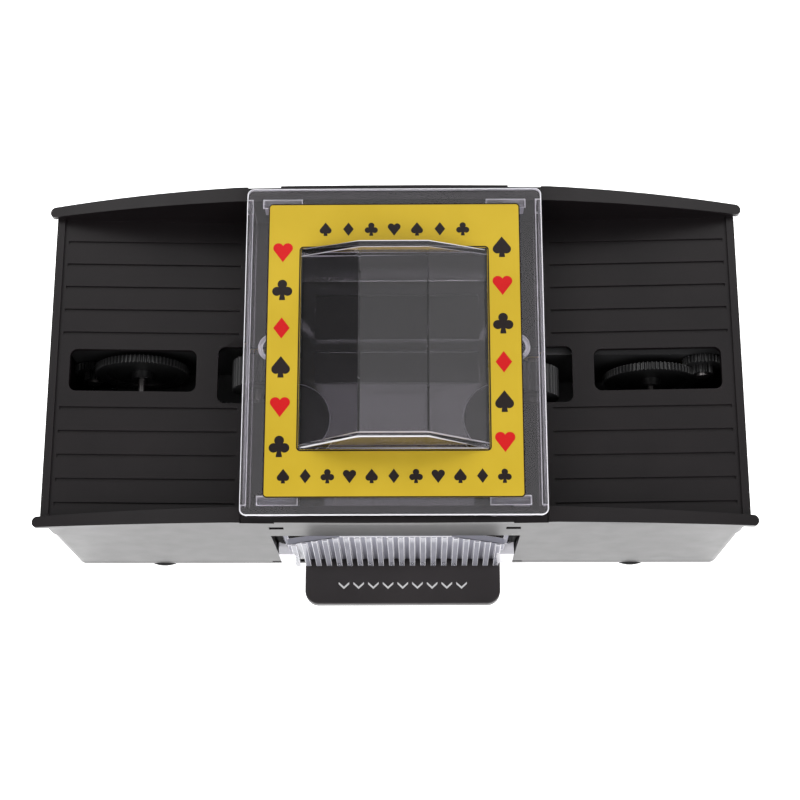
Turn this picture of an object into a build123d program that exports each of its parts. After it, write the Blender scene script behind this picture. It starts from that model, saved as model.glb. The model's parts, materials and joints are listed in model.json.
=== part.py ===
from build123d import *
import math
import os

# An automatic card shuffler for two decks of cards.
# Millimetres. +X to the right, +Y to the back, +Z up; the front carries the drawer and the lever.
# The origin is at the middle of the underside of the whole shuffler, its press lever included.

# ---------------------------------------------------------------- driving dimensions
EAR_LENGTH = 208.0  # tip to tip of the rim's corner ears
BODY_LENGTH = 204.0
BODY_DEPTH = 97.0
WALL = 2.3
SEAM_STEP = 0.3  # the lower shell stands back from the upper one by this much
CORNER_R = 3.0

FEET_H = 1.5
BASE_FLOOR_TOP = 3.5
BASE_TOP = 4.8
SHELL_BOTTOM = 5.0
PARTING_Z = 46.0
RIM_END_Z = 60.0
RIM_SHOULDER_Z = 71.8
RIM_MIDDLE_Z = 72.3
RIM_SHOULDER_X = 46.0
RIM_ARC = (76.0, 67.2)  # a point that the rim's right-hand arc passes through
NOTCH_X = (33.5, 43.2)
NOTCH_Z = 71.0
FRONT_SLOT_X = (32.2, 36.4)
FRONT_SLOT_Z = (52.8, 55.6)

LOWER_WALL = 2.0
BASE_RIM_T = 1.7
LIP_INSET = (2.2, 3.6)  # the locating lip's two faces, in from the base plate's edge
LIP_H = 4.0
PASSAGE_HALF = 39.5  # the drawer and the lever pass over a low stretch of the base this wide

SCREW_POSITIONS = [(x, y) for x in (-94.5, 94.5) for y in (-41.0, 41.0)]
BOSS_R = 3.4
BOSS_BOTTOM = 22.0
SCREW_R = 1.45
SCREW_HOLE_R = 1.5
SCREW_DEPTH = 14.0
SCREW_HEAD_R = 2.8
SCREW_HEAD_Z = 2.6
CROSS_SLOT = (3.4, 0.7, 0.7)  # length, width and depth of each slot in a screw's head

FOOT_POSITIONS = [(x, y) for x in (-74.0, 74.0) for y in (-39.4, 39.4)]
FOOT_R = 9.4
FOOT_PEG_R = 1.5
FOOT_EDGE_R = 0.7

FLANGE_END_Y = 49.3
FLANGE_MIDDLE_Y = 51.0
FLANGE_T = 2.0
EAR_R = 1.5

TRAY_OUTER_Z = 58.0
TRAY_SLOPE = 0.05
TRAY_T = 1.8
TRAY_INNER_X = 36.0
PARTITION_BOTTOM = 39.0
PARTITION_GAP_Y = -15.5  # the partition's gap for the roller's gear starts here
END_WALL_TOP = 58.7
GROOVE_PITCH = 7.2
GROOVE_FIRST = 11.6
GROOVE_SIZE = (1.0, 0.5)
GROOVE_SPAN = (46.5, 98.5)
FEED_LINE_Y = -1.4

GEAR_WINDOW = (37.3, 12.9)
GEAR_WINDOW_X = 77.5
GEAR_WINDOW_Y = -1.2
ROLLER_WINDOW_Y = (-11.0, 6.4)
ROLLER_WINDOW_X = 52.5
WINDOW_R = 2.2

DRAWER_HALF = 33.9
DRAWER_T = 1.5
DRAWER_FLOOR_Z = 9.0
DRAWER_BACK_Y = 45.2
DRAWER_WALL_TOP = 36.0
DRAWER_FACE_Y = -48.4
DRAWER_FACE_TOP = 41.8
FACE_T = 2.0
FACE_HALF = 32.8
FACE_FLAT_HALF = 16.4
FACE_END_TOP = 30.5
END_BLOCK_X = (30.9, 36.0)
END_BLOCK_Y = (-49.8, -46.0)
END_BLOCK_TOP = 23.0
RIB_PITCH = 3.25
RIB_WIDTH = 1.7
RIBS_PER_HALF = 10
RIB_ROOT = 0.5  # how far each rib reaches into the front plate
RIB_DEPTH = (0.4, 2.3)  # at the top and at the bottom
RIB_DROP = 0.6
FINGER_NOTCH = (31.5, -3.0, 11.5)  # x, y and radius
FLOOR_OPENING_HALF = 25.0
FLOOR_OPENINGS_Y = ((9.0, 19.6), (23.8, 39.0))
OPENING_HALF = 36.8
OPENING_TOP = 42.5
OPENING_TAPER = 0.4
BAY_WALL_X = 34.6
BAY_WALL_T = 1.5
BAY_WALL_TOP = 38.0
BAY_FRONT_Y = -43.0
RUNNER_X = 31.0
RUNNER_Z = (7.2, 8.95)

LEVER_FRONT_Y = -62.5
LEVER_X = 1.8
LEVER_WIDTH = 61.0
LEVER_TOP = 8.2
TAB_BACK_Y = -44.0
TAB_BOTTOM = 4.6
TAB_CORNER_R = 4.2
TAB_STEP_Y = -49.6
ARM_BOTTOM = 6.0
ARM_HALF_WIDTH = 20.0
ARM_Y = (-40.0, -34.0)
SIDE_ARM_X = -42.5
SIDE_ARM_T = 2.0
ARM_SLOT_X = (-45.0, -30.0)
ARM_SLOT_TOP = 10.0
SWITCH_X = (-56.4, -43.6)
SWITCH_TOP = 10.0
SWITCH_PIN_PITCH = 5.0
SWITCH_PIN_Z = (5.0, 7.0)
PLUNGER_X = -50.0
PLUNGER_R = 1.2
PAD_Z = 13.0
PAD_T = 2.0
SPRING_Y = -34.0
SPRING_R = 3.0
SPRING_WIRE_R = 0.25
SPRING_TURNS = 3.5
PIVOT_Y = -12.0
PIVOT_Z = 6.1
PIVOT_R = 1.0
PIVOT_RIB_X = 22.6
PIVOT_RIB_T = 2.4
PIVOT_RIB_HALF_Y = 3.0
PIVOT_RIB_TOP = 8.3

COVER_SIZE = (86.3, 98.4)
COVER_BOTTOM = 72.4
COVER_T = 1.7
COVER_TOP = COVER_BOTTOM + COVER_T
ROOF_BASE = (53.0, 59.8)
ROOF_FLAT = (20.0, 58.3)
ROOF_H = 9.4
ROOF_T = 1.4
COVER_CORNER_R = 2.0
SKIRT_T = 1.5
SKIRT_BOTTOM = 57.0
SKIRT_GAP = 0.4
HOOK_X = (27.2, 38.2)
HOOK_T = 2.2
HOOK_BOTTOM = 66.5
RING_CENTRE = (34.9, 0.3)
RING_R = (3.8, 3.1)
RING_H = 0.7
LABEL_SIZE = (73.4, 88.4)
LABEL_T = 0.25
LABEL_CORNER_R = 1.2
LABEL_WINDOW_GAP = 0.4

MODULE = 0.4
PRESSURE_ANGLE = math.radians(25)
TOOTH_THINNING = 0.035
PINION_TEETH = 12
REDUCTION_TEETH = 28
REDUCTION_PINION_TEETH = 14
DRIVE_TEETH = 70
FEED_TEETH = 50
IDLER_TEETH = 60
ROLLER_TEETH = 23
GEAR_FACE = 2.2

DRIVE_X = 77.5
DRIVE_Z = 40.0
ROLLER_X = 41.0
ROLLER_Z = 47.9
ROLLER_R = 8.0
ROLLER_LENGTH = 8.8
# The right-hand reduction gear sits high beside the drive gear and the left-hand one sits low.
REDUCTION_ANGLE = {"left": -20.0, "right": 30.0}
MOTOR_ANGLE = {"left": 220.0, "right": 250.0}
SHAFT_R = 1.25
RUNNING_CLEARANCE = 0.05
RIGHT_TRAIN_SHIFT = -2.8  # the right-hand gear train sits this much nearer to the front
DISC_Y = 2.4
FRONT_GEAR_Y = -11.5
GEAR_GAP = 0.2
REAR_PLATE = (7.4, 9.4)
FRONT_PLATE = (-14.0, -12.0)
HUB_R = 3.2
RECESS_R = 11.0
RECESS_DEPTH = 0.7
SHAFT_OVERHANG = 0.6
PIN_HEAD_R = 2.05
PIN_HEAD_T = 0.7
PIN_HEAD_GAP = 0.1

FRAME_X = (37.6, 98.4)
FRAME_TOP = 52.4
WEB_X = 88.0
WEB_Z = (22.4, 24.4)
FRAME_LEGS = ((37.6, 43.6), (89.4, 96.4))
BUSH_R = 2.4

MOTOR_R = 10.05
MOTOR_FLAT = 15.1
MOTOR_CAN_L = 20.0
MOTOR_CAP_L = 5.0
MOTOR_SHAFT_R = 1.0
MOTOR_BOSS_R = 3.0
MOTOR_SHELL = 1.0
MOTOR_SOCKET = 3.5
TERMINAL = (2.4, 3.0, 0.4)  # width, length and thickness
TERMINAL_X = 5.0
ROTOR_R = 6.0
ROTOR_GAP = 4.0
ROTOR_SLOT_R = 1.2

TYRE_RIBS = 32
TYRE_RIB_R = 0.7
ROLLER_HUB_R = 5.0
ROLLER_OFFSET = -0.5

CELL_R = 7.2
CELL_BODY_L = 48.9
CELL_NUB = (2.7, 1.0)
CELL_PITCH = 15.4
CELL_Y = 8.0
CELL_Z = 10.0
BAY_MIDDLE_X = 70.15
CONTACT_REACH = 26.85  # from the middle of the battery bay to the contact plates
CONTACT_T = 0.4
CONTACT_HALF_WIDTH = 6.0
CONTACT_Z = (5.0, 15.0)
BRIDGE_HALF_WIDTH = 3.0
BRIDGE_Z = (8.0, 12.0)
CONTACT_GAP = 0.05
CELL_SPRING = (3.2, 0.35, 2.5)  # coil radius, wire radius and turns
SPRING_END_GAP = 0.02
BAY_X = (42.8, 97.6)
BAY_SHELL = 1.2
BAY_TOP = 14.0
BAY_LEDGE = 1.5
BAY_WINDOW_X = 96.9
DOOR_X = (43.3, 101.7)
DOOR_Y = (-8.7, 24.7)
DOOR_T = 1.2
DOOR_GAP = 0.3
DOOR_GRIP = (91.0, 1.6, 5)  # first groove, pitch and number of grooves
DOOR_GRIP_SIZE = (0.8, 16.0, 0.4)

# The bounding box runs from the lever's front edge to the rear flange, so the housing's own
# middle lies behind the origin.
MID_Y = -(LEVER_FRONT_Y + FLANGE_MIDDLE_Y) / 2

SIDES = {"left": -1, "right": 1}


# ---------------------------------------------------------------- planes and helpers
def level(z):
    """A horizontal plane at height z, centred on the housing."""
    return Plane(origin=(0, MID_Y, z))


def section(y):
    """An upright plane facing the front, y behind the housing's middle; extrusions go forward."""
    return Plane(origin=(0, MID_Y + y, 0), x_dir=(1, 0, 0), z_dir=(0, -1, 0))


def side_view(x):
    """An upright plane facing +X: its own x runs to the back and its own y runs up."""
    return Plane(origin=(x, MID_Y, 0), x_dir=(0, 1, 0), z_dir=(1, 0, 0))


def save(builder, name):
    builder.part.label = name
    export_step(builder.part, f"parts/{name}.step")


def block(x_range, y_range, z_range, mode=Mode.ADD):
    """A box between the given limits, measured from the housing's middle."""
    with BuildSketch(level(z_range[0])) as outline:
        with Locations(((x_range[0] + x_range[1]) / 2, (y_range[0] + y_range[1]) / 2)):
            Rectangle(abs(x_range[1] - x_range[0]), y_range[1] - y_range[0])
    extrude(outline.sketch, amount=z_range[1] - z_range[0], mode=mode)


def rod(x, z, radius, y_range, mode=Mode.ADD):
    """A round bar along Y."""
    with BuildSketch(section(y_range[1])) as outline:
        with Locations((x, z)):
            Circle(radius)
    extrude(outline.sketch, amount=y_range[1] - y_range[0], mode=mode)


def post(x, y, radius, z_range, mode=Mode.ADD):
    """A round bar along Z."""
    with BuildSketch(level(z_range[0])) as outline:
        with Locations((x, y)):
            Circle(radius)
    extrude(outline.sketch, amount=z_range[1] - z_range[0], mode=mode)


def tray_top(x):
    return TRAY_OUTER_Z - TRAY_SLOPE * (BODY_LENGTH / 2 - abs(x))


def groove_rows():
    rows = [GROOVE_FIRST + GROOVE_PITCH * i for i in range(5)]
    return [FEED_LINE_Y + y for y in rows] + [FEED_LINE_Y - y for y in rows]


# ---------------------------------------------------------------- gear geometry
def pitch_radius(teeth):
    return MODULE * teeth / 2


def polar(centre, distance, angle):
    return (centre[0] + distance * math.cos(angle), centre[1] + distance * math.sin(angle))


def direction(start, end):
    return math.atan2(end[1] - start[1], end[0] - start[0])


def meshed_phase(centre, phase, teeth, other_centre, other_teeth):
    """The tooth angle that puts a gap of the other gear on the first gear's tooth."""
    towards = direction(centre, other_centre)
    turn = (towards - phase) * teeth / (2 * math.pi)
    return towards + math.pi - (0.5 - turn) * 2 * math.pi / other_teeth


def outward_angle(degrees, side):
    """An angle above the horizontal, counted from the housing's outer side."""
    return math.radians(degrees if side > 0 else 180 - degrees)


def idler_centre(start, end, start_distance, end_distance):
    """The lower point at the two given distances from start and end."""
    span = math.dist(start, end)
    along = (span**2 + start_distance**2 - end_distance**2) / (2 * span)
    drop = math.sqrt(start_distance**2 - along**2)
    unit = ((end[0] - start[0]) / span, (end[1] - start[1]) / span)
    down = (abs(unit[1]), -abs(unit[0])) if unit[0] > 0 else (-abs(unit[1]), -abs(unit[0]))
    return (
        start[0] + along * unit[0] + drop * down[0],
        start[1] + along * unit[1] + drop * down[1],
    )


def tooth_outline(teeth):
    """Half of one tooth's flank as (radius, half angle) pairs, root to tip."""
    pitch = pitch_radius(teeth)
    base = pitch * math.cos(PRESSURE_ANGLE)
    root = pitch - 1.15 * MODULE
    tip = pitch + 0.9 * MODULE
    half_at_pitch = math.pi / (2 * teeth) - TOOTH_THINNING / pitch

    def half_angle(radius):
        roll = math.acos(min(1.0, base / radius))
        return half_at_pitch + inv_pitch - (math.tan(roll) - roll)

    inv_pitch = math.tan(PRESSURE_ANGLE) - PRESSURE_ANGLE
    lowest = max(base, root)
    radii = [lowest, (lowest + pitch) / 2, pitch, (pitch + tip) / 2, tip]
    flank = [(radius, half_angle(radius)) for radius in radii]
    return [(root, flank[0][1])] + flank if root < base else flank


def gear_points(centre, teeth, phase):
    flank = tooth_outline(teeth)
    points = []
    for tooth in range(teeth):
        middle = phase + 2 * math.pi * tooth / teeth
        points += [polar(centre, radius, middle - half) for radius, half in flank]
        points += [polar(centre, radius, middle + half) for radius, half in reversed(flank)]
    return points


def gear_wheel(centre, teeth, phase, y_range):
    """A spur gear's toothed disc, between two distances from the housing's middle."""
    with BuildSketch(section(y_range[1])) as outline:
        with BuildLine():
            Polyline(*gear_points(centre, teeth, phase), close=True)
        make_face()
    extrude(outline.sketch, amount=y_range[1] - y_range[0])


# ---------------------------------------------------------------- housing
def rim_line():
    """The rim's arched top edge, drawn from left to right."""
    ear = EAR_LENGTH / 2
    left_bend = (-RIM_ARC[0], RIM_ARC[1])
    ThreePointArc((-ear, RIM_END_Z), left_bend, (-RIM_SHOULDER_X, RIM_SHOULDER_Z))
    Polyline(
        (-RIM_SHOULDER_X, RIM_SHOULDER_Z),
        (-NOTCH_X[1], RIM_SHOULDER_Z),
        (-NOTCH_X[1], NOTCH_Z),
        (-NOTCH_X[0], NOTCH_Z),
        (-NOTCH_X[0], RIM_MIDDLE_Z),
        (NOTCH_X[0], RIM_MIDDLE_Z),
        (NOTCH_X[0], NOTCH_Z),
        (NOTCH_X[1], NOTCH_Z),
        (NOTCH_X[1], RIM_SHOULDER_Z),
        (RIM_SHOULDER_X, RIM_SHOULDER_Z),
    )
    ThreePointArc((RIM_SHOULDER_X, RIM_SHOULDER_Z), RIM_ARC, (ear, RIM_END_Z))


def make_rim_flange():
    """The lip along the top of the rear wall: a bowed band that follows the arched rim."""
    ear = EAR_LENGTH / 2
    inner = BODY_DEPTH / 2 - WALL
    end_bottom = RIM_END_Z - FLANGE_T
    bend_bottom = RIM_ARC[1] - FLANGE_T
    shoulder_bottom = RIM_SHOULDER_Z - FLANGE_T
    with BuildPart() as flange:
        with BuildSketch(level(PARTING_Z)):
            with BuildLine():
                ThreePointArc((-ear, FLANGE_END_Y), (0, FLANGE_MIDDLE_Y), (ear, FLANGE_END_Y))
                Polyline((ear, FLANGE_END_Y), (ear, inner), (-ear, inner), (-ear, FLANGE_END_Y))
            face = make_face()
            fillet(face.vertices(), EAR_R)
        extrude(amount=RIM_MIDDLE_Z - PARTING_Z)
        with BuildSketch(section(FLANGE_MIDDLE_Y + 1)):
            with BuildLine():
                rim_line()
                Line((ear, RIM_END_Z), (ear, end_bottom))
                ThreePointArc(
                    (ear, end_bottom),
                    (RIM_ARC[0], bend_bottom),
                    (RIM_SHOULDER_X, shoulder_bottom),
                )
                Line((RIM_SHOULDER_X, shoulder_bottom), (-RIM_SHOULDER_X, shoulder_bottom))
                ThreePointArc(
                    (-RIM_SHOULDER_X, shoulder_bottom),
                    (-RIM_ARC[0], bend_bottom),
                    (-ear, end_bottom),
                )
                Line((-ear, end_bottom), (-ear, RIM_END_Z))
            make_face()
        extrude(amount=FLANGE_MIDDLE_Y, mode=Mode.INTERSECT)
    return flange.part


def make_upper_housing():
    half = BODY_LENGTH / 2
    inner_y = BODY_DEPTH / 2 - WALL
    flange = make_rim_flange()
    with BuildPart() as housing:
        # front and rear walls with the arched rim
        with BuildSketch(section(BODY_DEPTH / 2)):
            with BuildLine():
                rim_line()
                Polyline(
                    (EAR_LENGTH / 2, RIM_END_Z),
                    (EAR_LENGTH / 2, PARTING_Z),
                    (-EAR_LENGTH / 2, PARTING_Z),
                    (-EAR_LENGTH / 2, RIM_END_Z),
                )
            make_face()
        extrude(amount=BODY_DEPTH)
        with BuildSketch(level(PARTING_Z)):
            RectangleRounded(BODY_LENGTH, BODY_DEPTH, CORNER_R)
        extrude(amount=RIM_MIDDLE_Z, mode=Mode.INTERSECT)
        # the hollow above the trays is open to the ends, and the one below them is closed
        upper_hollow = (END_WALL_TOP, RIM_MIDDLE_Z + 1)
        block((-half, half), (-inner_y, inner_y), upper_hollow, Mode.SUBTRACT)
        lower_hollow = (PARTING_Z, END_WALL_TOP + 1)
        block((WALL - half, half - WALL), (-inner_y, inner_y), lower_hollow, Mode.SUBTRACT)
        add(flange)
        add(mirror(flange, about=section(0)))
        for side in SIDES.values():
            add_tray(side, inner_y)
            for y in groove_rows():
                cut_groove(side, y)
            cut_windows(side)
            slot = sorted((side * FRONT_SLOT_X[0], side * FRONT_SLOT_X[1]))
            block(slot, (-BODY_DEPTH, -inner_y), FRONT_SLOT_Z, Mode.SUBTRACT)
        # screw bosses under the tray corners
        for x, y in SCREW_POSITIONS:
            post(x, y, BOSS_R, (BOSS_BOTTOM, tray_top(x) - 1))
            post(x, y, SCREW_HOLE_R, (BOSS_BOTTOM, BOSS_BOTTOM + SCREW_DEPTH), Mode.SUBTRACT)
    save(housing, "upper_housing")


def strip(near, far, top, bottom, y_range, mode=Mode.ADD):
    """A slab along a tray, from x near to x far and between two offsets from its top."""
    with BuildSketch(section(y_range[1])) as outline:
        with BuildLine():
            Polyline(
                (near, tray_top(near) + top),
                (far, tray_top(far) + top),
                (far, tray_top(far) + bottom),
                (near, tray_top(near) + bottom),
                close=True,
            )
        make_face()
    extrude(outline.sketch, amount=y_range[1] - y_range[0], mode=mode)


def add_tray(side, inner_y):
    """One sloped tray and the partition at its inner end."""
    outer = side * (BODY_LENGTH / 2 - WALL)
    strip(outer, side * TRAY_INNER_X, 0, -TRAY_T, (-inner_y, inner_y))
    partition = sorted((side * TRAY_INNER_X, side * (TRAY_INNER_X + BAY_WALL_T)))
    block(partition, (-inner_y, inner_y), (PARTITION_BOTTOM, tray_top(TRAY_INNER_X) - 0.2))


def cut_groove(side, y):
    width, depth = GROOVE_SIZE
    near, far = side * GROOVE_SPAN[0], side * GROOVE_SPAN[1]
    strip(near, far, 1, -depth, (y - width / 2, y + width / 2), Mode.SUBTRACT)


def cut_windows(side):
    """The gear's window and the roller's window, which also opens the partition."""
    roller_x = (TRAY_INNER_X - 4, ROLLER_WINDOW_X)
    with BuildSketch(level(PARTING_Z)) as windows:
        with Locations((side * GEAR_WINDOW_X, GEAR_WINDOW_Y)):
            RectangleRounded(*GEAR_WINDOW, WINDOW_R)
        with Locations((side * sum(roller_x) / 2, sum(ROLLER_WINDOW_Y) / 2)):
            depth = ROLLER_WINDOW_Y[1] - ROLLER_WINDOW_Y[0]
            RectangleRounded(roller_x[1] - roller_x[0], depth, WINDOW_R)
    extrude(windows.sketch, amount=TRAY_OUTER_Z - PARTING_Z, mode=Mode.SUBTRACT)
    # the partition opens around the roller and its gear
    gap = sorted((side * (TRAY_INNER_X - 1), side * (TRAY_INNER_X + 3)))
    gap_z = (PARTITION_BOTTOM - 1, tray_top(TRAY_INNER_X) - TRAY_T)
    block(gap, (PARTITION_GAP_Y, ROLLER_WINDOW_Y[1]), gap_z, Mode.SUBTRACT)


def make_lower_housing():
    length = BODY_LENGTH - 2 * SEAM_STEP
    depth = BODY_DEPTH - 2 * SEAM_STEP
    inner_y = depth / 2 - WALL + SEAM_STEP
    with BuildPart() as shell:
        with BuildSketch(level(SHELL_BOTTOM)):
            RectangleRounded(length, depth, CORNER_R)
            inner = (length - 2 * LOWER_WALL, depth - 2 * LOWER_WALL)
            RectangleRounded(*inner, CORNER_R - LOWER_WALL + 0.1, mode=Mode.SUBTRACT)
        extrude(amount=PARTING_Z - SHELL_BOTTOM)
        # drawer opening, narrower towards the bottom
        with BuildSketch(section(-depth / 2 + LOWER_WALL)):
            with BuildLine():
                Polyline(
                    (-OPENING_HALF, OPENING_TOP),
                    (OPENING_HALF, OPENING_TOP),
                    (OPENING_HALF - OPENING_TAPER, SHELL_BOTTOM - 1),
                    (-OPENING_HALF + OPENING_TAPER, SHELL_BOTTOM - 1),
                    close=True,
                )
            make_face()
        extrude(amount=2 * LOWER_WALL, mode=Mode.SUBTRACT)
        # drawer bay walls, stood back from the wide opening at the front
        for side in SIDES.values():
            walls = sorted((side * BAY_WALL_X, side * (BAY_WALL_X + BAY_WALL_T)))
            block(walls, (BAY_FRONT_Y, inner_y), (SHELL_BOTTOM, BAY_WALL_TOP))
            ties = sorted((side * BAY_WALL_X, side * (OPENING_HALF + 2)))
            tie_y = (BAY_FRONT_Y - BAY_WALL_T, BAY_FRONT_Y)
            block(ties, tie_y, (SHELL_BOTTOM, BAY_WALL_TOP))
            runner = sorted((side * RUNNER_X, side * BAY_WALL_X))
            block(runner, (BAY_FRONT_Y + 1, inner_y), RUNNER_Z)
            cheeks = sorted((side * (OPENING_HALF + 0.5), side * (OPENING_HALF + 2)))
            block(cheeks, (-inner_y - 0.2, BAY_FRONT_Y), (SHELL_BOTTOM, BAY_WALL_TOP))
        # slot for the lever's side arm
        arm_slot_y = (ARM_Y[0] - 2, ARM_Y[1] + 2)
        block(ARM_SLOT_X, arm_slot_y, (SHELL_BOTTOM - 1, ARM_SLOT_TOP), Mode.SUBTRACT)
    save(shell, "lower_housing")


def make_base_plate():
    length = BODY_LENGTH - 2 * SEAM_STEP
    depth = BODY_DEPTH - 2 * SEAM_STEP
    with BuildPart() as base:
        with BuildSketch(level(FEET_H)):
            RectangleRounded(length, depth, CORNER_R)
        extrude(amount=BASE_TOP - FEET_H)
        with BuildSketch(level(BASE_FLOOR_TOP)):
            hollow = (length - 2 * BASE_RIM_T, depth - 2 * BASE_RIM_T)
            RectangleRounded(*hollow, CORNER_R - BASE_RIM_T + 0.1)
        extrude(amount=BASE_TOP, mode=Mode.SUBTRACT)
        # locating lip inside the lower housing
        with BuildSketch(level(BASE_FLOOR_TOP)):
            outer, inner = LIP_INSET
            RectangleRounded(length - 2 * outer, depth - 2 * outer, CORNER_R - outer + 0.1)
            Rectangle(length - 2 * inner, depth - 2 * inner, mode=Mode.SUBTRACT)
        extrude(amount=LIP_H)
        # the drawer and the lever pass over a low stretch of the front edge
        passage = (-PASSAGE_HALF, PASSAGE_HALF)
        lip_top = BASE_FLOOR_TOP + LIP_H + 1
        block(passage, (-BODY_DEPTH, BAY_FRONT_Y), (BASE_FLOOR_TOP, lip_top), Mode.SUBTRACT)
        rear_lip = (-BAY_FRONT_Y, depth / 2 - BASE_RIM_T - 0.1)
        block(passage, rear_lip, (BASE_FLOOR_TOP, lip_top), Mode.SUBTRACT)
        # bearing ribs for the lever's pin
        rib_y = (PIVOT_Y - PIVOT_RIB_HALF_Y, PIVOT_Y + PIVOT_RIB_HALF_Y)
        for x in (-PIVOT_RIB_X, PIVOT_RIB_X):
            rib_x = (x - PIVOT_RIB_T / 2, x + PIVOT_RIB_T / 2)
            block(rib_x, rib_y, (BASE_FLOOR_TOP, PIVOT_RIB_TOP))
        cross_bar(PIVOT_RIB_X + PIVOT_RIB_T, PIVOT_R, Mode.SUBTRACT)
        for side in SIDES.values():
            cut_battery_bay(side)
        for x, y in SCREW_POSITIONS:
            post(x, y, BOSS_R, (BASE_FLOOR_TOP - 1, BOSS_BOTTOM))
            post(x, y, SCREW_HOLE_R + 0.2, (0, BOSS_BOTTOM), Mode.SUBTRACT)
            post(x, y, SCREW_HEAD_R + 0.3, (0, BASE_FLOOR_TOP + 1), Mode.SUBTRACT)
        for x, y in FOOT_POSITIONS:
            post(x, y, FOOT_PEG_R + 0.1, (0, BASE_FLOOR_TOP + 1), Mode.SUBTRACT)
    save(base, "base_plate")


def cut_battery_bay(side):
    """The walls around the cells, and the door's opening below them."""
    bay = sorted((side * (BAY_X[0] - BAY_SHELL), side * (BAY_X[1] + BAY_SHELL)))
    block(bay, (DOOR_Y[0] - BAY_SHELL, DOOR_Y[1] + BAY_SHELL), (BASE_FLOOR_TOP, BAY_TOP))
    hollow = sorted((side * BAY_X[0], side * BAY_X[1]))
    block(hollow, DOOR_Y, (BASE_FLOOR_TOP, BAY_TOP + 1), Mode.SUBTRACT)
    door = sorted((side * (DOOR_X[0] - DOOR_GAP), side * BODY_LENGTH))
    door_y = (DOOR_Y[0] - DOOR_GAP, DOOR_Y[1] + DOOR_GAP)
    block(door, door_y, (0, FEET_H + DOOR_T + 0.1), Mode.SUBTRACT)
    window = sorted((side * DOOR_X[0], side * BAY_WINDOW_X))
    window_y = (DOOR_Y[0] + BAY_LEDGE, DOOR_Y[1] - BAY_LEDGE)
    block(window, window_y, (0, BASE_FLOOR_TOP + 1), Mode.SUBTRACT)


def make_feet():
    with BuildPart() as feet:
        for x, y in FOOT_POSITIONS:
            post(x, y, FOOT_R, (0, FEET_H))
            post(x, y, FOOT_PEG_R, (FEET_H, BASE_FLOOR_TOP))
        fillet(feet.edges().group_by(Axis.Z)[0], FOOT_EDGE_R)
    save(feet, "rubber_feet")


def make_screws():
    length, width, depth = CROSS_SLOT
    slot_z = (0, SCREW_HEAD_Z + depth)
    with BuildPart() as screws:
        for x, y in SCREW_POSITIONS:
            post(x, y, SCREW_HEAD_R, (SCREW_HEAD_Z, BASE_FLOOR_TOP + 1))
            post(x, y, SCREW_R, (BASE_FLOOR_TOP + 1, BOSS_BOTTOM + SCREW_DEPTH - 2))
            for size_x, size_y in ((length, width), (width, length)):
                slot_x = (x - size_x / 2, x + size_x / 2)
                block(slot_x, (y - size_y / 2, y + size_y / 2), slot_z, Mode.SUBTRACT)
    save(screws, "housing_screws")


# ---------------------------------------------------------------- cover
def make_cover():
    skirt_y = BODY_DEPTH / 2 - WALL - SKIRT_GAP
    with BuildPart() as cover:
        with BuildSketch(level(COVER_BOTTOM)):
            RectangleRounded(*COVER_SIZE, COVER_CORNER_R)
        extrude(amount=COVER_T)
        # hollow roof over the drawer
        with BuildSketch(level(COVER_TOP)):
            Rectangle(*ROOF_BASE)
        with BuildSketch(level(COVER_TOP + ROOF_H)):
            Rectangle(*ROOF_FLAT)
        loft()
        with BuildSketch(level(COVER_BOTTOM)):
            Rectangle(ROOF_BASE[0] + 2.4, ROOF_BASE[1] - 2 * ROOF_T)
        with BuildSketch(level(COVER_TOP + ROOF_H - ROOF_T)):
            Rectangle(ROOF_FLAT[0] - 1.2, ROOF_FLAT[1] - 3.0)
        loft(mode=Mode.SUBTRACT)
        for side in SIDES.values():
            # side skirts reach down to the card slot above the trays
            skirt = sorted((side * (COVER_SIZE[0] / 2 - SKIRT_T), side * COVER_SIZE[0] / 2))
            block(skirt, (-skirt_y, skirt_y), (SKIRT_BOTTOM, COVER_BOTTOM))
            # ring mark under the plate
            with BuildSketch(level(COVER_BOTTOM - RING_H)):
                with Locations((side * RING_CENTRE[0], RING_CENTRE[1])):
                    Circle(RING_R[0])
                    Circle(RING_R[1], mode=Mode.SUBTRACT)
            extrude(amount=RING_H)
            # hooks that snap inside the long walls
            hook_x = sorted((side * HOOK_X[0], side * HOOK_X[1]))
            for end in (-1, 1):
                hook_y = sorted((end * (skirt_y - HOOK_T), end * skirt_y))
                block(hook_x, hook_y, (HOOK_BOTTOM, COVER_BOTTOM))
    save(cover, "clear_cover")


def make_label():
    window = (ROOF_BASE[0] + 2 * LABEL_WINDOW_GAP, ROOF_BASE[1] + 2 * LABEL_WINDOW_GAP)
    with BuildPart() as label:
        with BuildSketch(level(COVER_TOP)):
            RectangleRounded(*LABEL_SIZE, LABEL_CORNER_R)
            Rectangle(*window, mode=Mode.SUBTRACT)
        extrude(amount=LABEL_T)
    save(label, "cover_label")


# ---------------------------------------------------------------- drawer
def face_top(x):
    """Height of the drawer front's top edge: flat in the middle with sloped shoulders."""
    slope = (DRAWER_FACE_TOP - FACE_END_TOP) / (FACE_HALF - FACE_FLAT_HALF)
    return DRAWER_FACE_TOP - slope * max(0.0, abs(x) - FACE_FLAT_HALF)


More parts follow.
